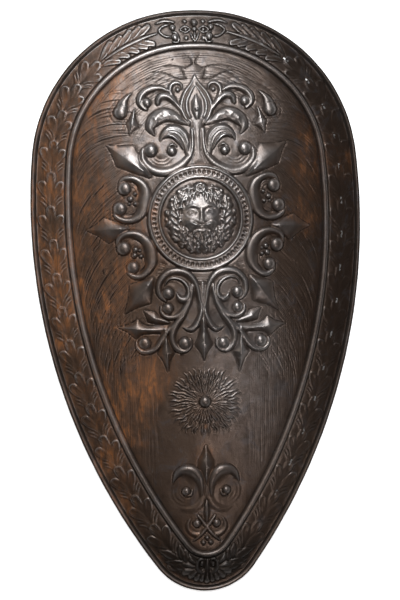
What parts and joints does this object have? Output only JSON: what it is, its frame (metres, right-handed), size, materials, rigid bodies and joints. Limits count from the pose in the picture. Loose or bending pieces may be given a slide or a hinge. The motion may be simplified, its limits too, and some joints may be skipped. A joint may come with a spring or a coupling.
{
  "type": "kite shield",
  "caption": "Almond-shaped embossed iron shield, domed towards a round medallion with a leafy mask, with a garland border and a rolled edge, hollow behind.",
  "frame": {"origin": "middle of the outline, on the plane that the rolled edge rests on", "axes": "+Z out of the convex face, +Y towards the broad end (the top when the shield is carried), +X to the right as seen from in front"},
  "size_m": [0.4686, 0.821, 0.0767],
  "materials": {
    "patinated_iron": "dark brown patina, worn bright on the raised work"
  },
  "bodies": {
    "root": {"shield_plate": "patinated_iron"}
  },
  "joints": []
}
